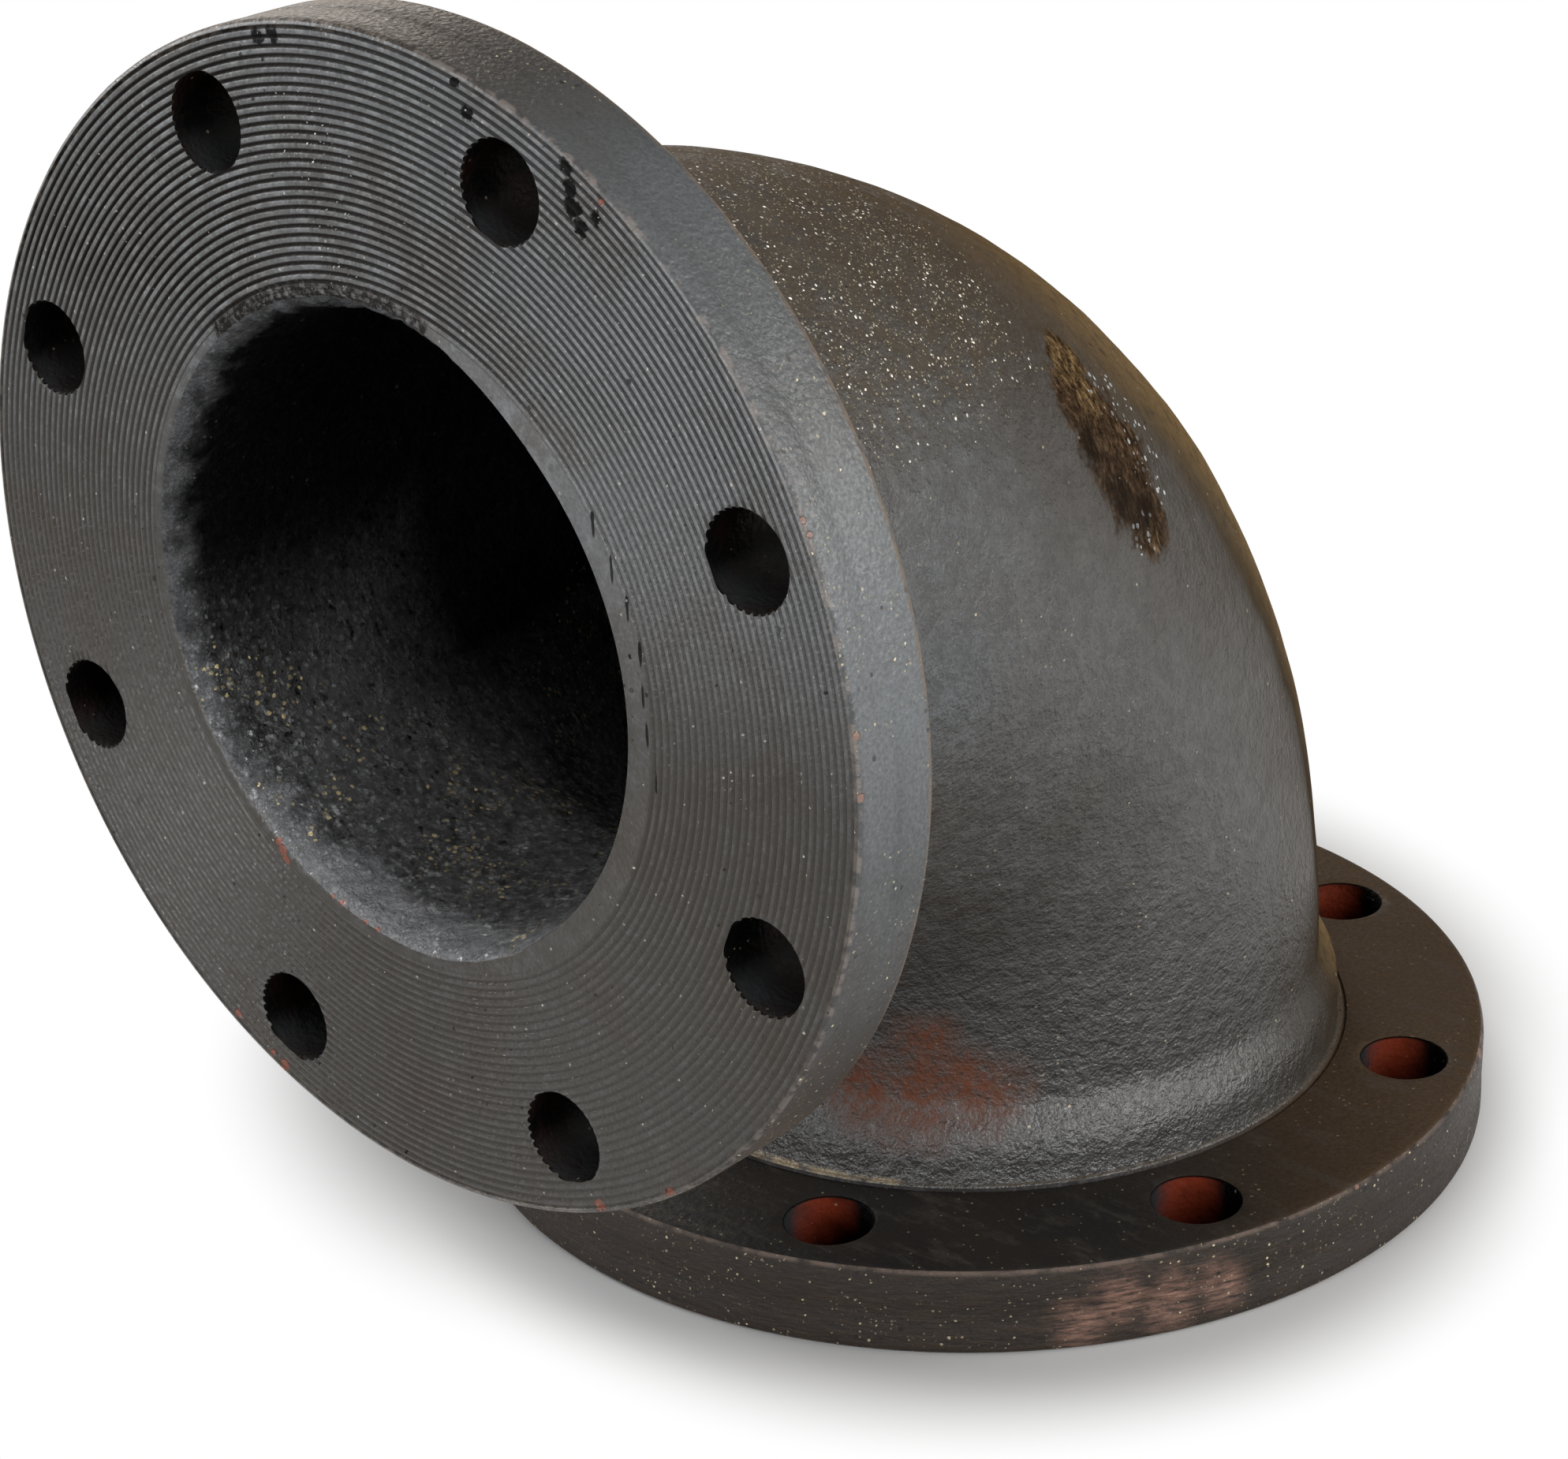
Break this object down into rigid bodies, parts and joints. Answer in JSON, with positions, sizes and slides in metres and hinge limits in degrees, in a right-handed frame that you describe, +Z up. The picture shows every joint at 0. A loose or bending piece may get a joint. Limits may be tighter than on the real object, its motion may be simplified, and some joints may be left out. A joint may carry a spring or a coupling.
{
  "type": "flanged pipe bend",
  "caption": "Cast iron right-angle pipe bend with a drilled round flange at each end, standing on one flange.",
  "frame": {"origin": "middle of the lower flange's face, on the floor that the bend stands on", "axes": "+Z up along the lower flange's axis; -Y out of the side flange's face, along its axis; the bend lies in the YZ plane and is symmetric about it"},
  "size_m": [0.2794, 0.3397, 0.3397],
  "materials": {
    "bitumen_coated_iron": "black bitumen dip coat over rough sand-cast grey iron, satin"
  },
  "bodies": {
    "root": {"pipe_bend": "bitumen_coated_iron"}
  },
  "joints": []
}
